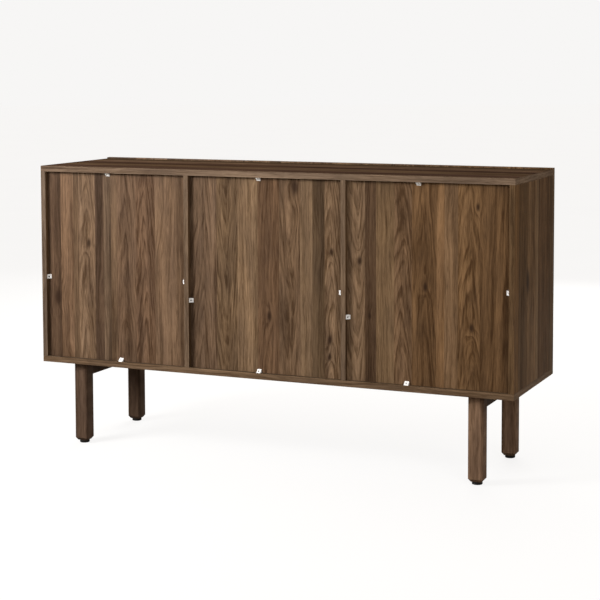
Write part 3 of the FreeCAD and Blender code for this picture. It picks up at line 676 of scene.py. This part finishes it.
# Zinc plate is bluish and blotchy, with soft reflections. All that is left is zinc plated.
zinc = small_part("zinc_plated_steel", "#c9ccd1", "#a4a8ae", 4.0, 0.34, metal=1.0)
wooden = ("top_panel", "bottom_panel", "side_", "divider_", "back_panel", "shelf_l", "shelf_c",
          "shelf_r", "door_", "leg_front", "leg_rear", "leg_rail")
finished = ("back_clips", "back_clip_screws", "leg_glides", "door_bumpers", "carcass_dowels",
            "rail_dowels", *nickel_nodes)
zinc_nodes = [name for name in nodes if not name.startswith(wooden) and name not in finished]
finish_nodes(zinc, *zinc_nodes)
print("nickel:", len(nickel_nodes), "nodes, zinc:", zinc_nodes)

# %% [markdown]
# ## The studio floor
#
# The floor is a pale sheet that runs out to the horizon. Lit like the rest, it would be greyer
# than a studio's white, and its bounce would light the legs and the underside too strongly. So
# the camera sees a paler floor than the one that lights the sideboard. A wide disc does for
# it, because nothing shows its rim.

# %% Floor
floor_radius = 40.0
floor_mottle = 1.5         # patches to a metre
own_glow = 0.86            # the part of what the camera sees that owes nothing to the lamps
glow_strength = 1.03

floor_mesh = bmesh.new()
bmesh.ops.create_circle(floor_mesh, cap_ends=True, radius=floor_radius, segments=96)
floor = bpy.data.objects.new("floor", bpy.data.meshes.new("floor"))
floor_mesh.to_mesh(floor.data)
floor_mesh.free()
bpy.context.scene.collection.objects.link(floor)

# A painted studio floor is matt and all but white, with a mottle that can only just be seen.
paint = bpy.data.materials.new("pale_studio_floor")
paint.use_nodes = True
tree = paint.node_tree
spot = add(tree, "TexCoord")
mottle = add(tree, "TexNoise", {"Vector": spot.outputs["Object"], "Scale": floor_mottle,
                                "Detail": 3.0})
colour = add(tree, "Mix", {0: mottle, MIX_A: hex_colour("#fbfaf9"),
                           MIX_B: hex_colour("#f9f8f7")}, data_type="RGBA")
matt = add(tree, "BsdfDiffuse", {"Color": colour})
glow = add(tree, "Emission", {"Color": colour, "Strength": glow_strength})
to_the_eye = add(tree, "MixShader", {0: own_glow, 1: matt, 2: glow})
to_the_wood = add(tree, "BsdfDiffuse", {"Color": hex_colour("#827b73")})
ray = add(tree, "LightPath")
either = add(tree, "MixShader", {0: ray.outputs["Is Camera Ray"], 1: to_the_wood,
                                 2: to_the_eye})
feed(tree, tree.nodes["Material Output"], {"Surface": either})
floor.data.materials.append(paint)
print("floor", round(floor.dimensions.x), "m across")

# %% [markdown]
# ## The lamps
#
# A small soft lamp stands on the camera's left, near the sideboard and somewhat above it, and
# draws the shadows of the frame on the recessed panels. Two wide, weak lamps fill in: one on
# the camera's right for the visible end, and one on the door side, for when the camera goes
# round. The fills are kept out of the gloss, so that the key's highlight stays alone.

# %% Lamps
def soft_box(name, place, towards, width, height, watts):
    """A rectangular soft lamp at `place` that faces `towards` and can't be seen itself."""
    lamp = bpy.data.objects.new(name, bpy.data.lights.new(name, "AREA"))
    lamp.data.shape = "RECTANGLE"
    lamp.data.size, lamp.data.size_y, lamp.data.energy = width, height, watts
    lamp.location = place
    lamp.rotation_mode = "QUATERNION"
    lamp.rotation_quaternion = (Vector(towards) - Vector(place)).to_track_quat("-Z", "Y")
    lamp.visible_camera = False
    bpy.context.scene.collection.objects.link(lamp)
    return lamp


soft_box("key", (1.6, 1.6, 1.55), (0.2, 0.2, 0.55), 0.8, 0.8, 60)
fills = [soft_box("right_fill", (-3.0, 3.0, 1.9), (-0.6, 0.1, 0.5), 1.6, 1.6, 60),
         soft_box("front_fill", (0.7, -3.3, 1.7), (0.0, -0.2, 0.5), 2.2, 1.6, 110)]
for lamp in fills:
    lamp.visible_glossy = False

# %% [markdown]
# ## The sky
#
# The rest of the light comes from all round, as in a white room. It is strongest overhead and
# weak near the horizon, which keeps the sides a little darker than the top. The camera sees a
# plain near white instead, matched to the far end of the floor. Colours are shown as they are
# written, without a film look.

# %% Sky
overhead_light, horizon_light = 1.15, 0.05
gather = 2.0               # how much the light is gathered overhead

world = bpy.data.worlds.new("studio")
bpy.context.scene.world = world
world.use_nodes = True
sky = world.node_tree
height = add(sky, "TexCoord")
height = add(sky, "SeparateXYZ", {0: height.outputs["Generated"]})
strength = add(sky, "Math", {0: height.outputs["Z"], 1: gather}, operation="POWER")
strength = add(sky, "Math", {0: strength, 1: overhead_light, 2: horizon_light},
               operation="MULTIPLY_ADD")
to_the_eye = add(sky, "Background", {"Color": hex_colour("#f7f6f5"), "Strength": 1.0})
to_the_wood = add(sky, "Background", {"Color": hex_colour("#fffaf4"), "Strength": strength})
ray = add(sky, "LightPath")
either = add(sky, "MixShader", {0: ray.outputs["Is Camera Ray"], 1: to_the_wood, 2: to_the_eye})
feed(sky, sky.nodes["World Output"], {"Surface": either})
bpy.context.scene.view_settings.view_transform = "Standard"
print("sky from", horizon_light, "at the horizon to", overhead_light + horizon_light, "above")
